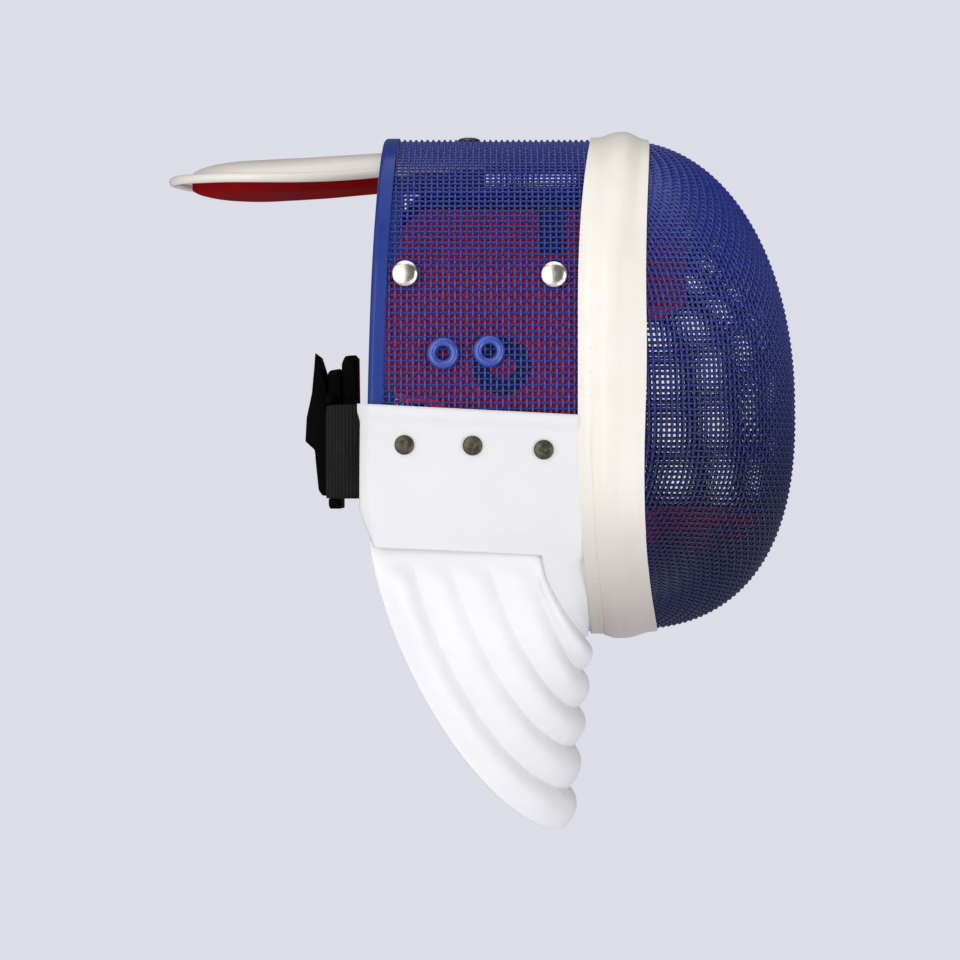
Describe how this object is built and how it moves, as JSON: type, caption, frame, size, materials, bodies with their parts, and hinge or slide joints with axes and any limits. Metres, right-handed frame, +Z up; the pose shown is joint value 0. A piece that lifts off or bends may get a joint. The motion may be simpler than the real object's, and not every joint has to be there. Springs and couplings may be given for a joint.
{
  "type": "fencing mask",
  "caption": "Fencing mask with a woven wire face, padded throat bib, red inner pads, sprung rear tongue and elastic neck strap",
  "frame": {"origin": "mount head_seat: the point inside the mask where the crown of the head rests, on the plane of symmetry, under the tongue's pad and its rivet", "axes": "+Z up, -Y the way the face looks, +X the wearer's left; the mask is the same on both sides of X = 0"},
  "size_m": [0.2044, 0.3431, 0.3807],
  "materials": {
    "mesh": "blue paint over woven steel wire",
    "rim": "glossy blue paint",
    "band": "smooth cream imitation leather",
    "white_cloth": "white woven cloth",
    "red_cloth": "red fleece over foam",
    "black_cloth": "black tape",
    "nickel": "bright nickel",
    "gunmetal": "dull grey",
    "cover": "smooth cream imitation leather",
    "webbing": "ribbed black elastic webbing",
    "clasp": "black moulded plastic"
  },
  "bodies": {
    "root": {"face_mesh": "mesh", "side_mesh": "mesh", "rear_rim": "rim", "trim_band": "band", "bib_flap": "white_cloth", "bib_pad": "white_cloth", "forehead_pad": "red_cloth", "chin_pad": "red_cloth", "tongue_cover": "cover", "tongue_pad": "red_cloth", "tongue_piping": "cover", "tongue_rivet": "gunmetal", "neck_strap": "webbing", "clasp_cover": "clasp", "clasp_frame": "clasp", "clasp_backplate": "clasp", "side_pad_right": "red_cloth", "side_pad_left": "red_cloth", "pad_tab_right": "black_cloth", "pad_tab_left": "black_cloth", "ear_ring_right": "black_cloth", "ear_ring_left": "black_cloth", "snap_rear_right": "nickel", "snap_rear_left": "nickel", "snap_front_right": "nickel", "snap_front_left": "nickel", "eyelet_rear_right": "rim", "eyelet_rear_left": "rim", "eyelet_front_right": "rim", "eyelet_front_left": "rim", "bib_rivet_rear_right": "gunmetal", "bib_rivet_rear_left": "gunmetal", "bib_rivet_middle_right": "gunmetal", "bib_rivet_middle_left": "gunmetal", "bib_rivet_front_right": "gunmetal", "bib_rivet_front_left": "gunmetal"}
  },
  "joints": []
}
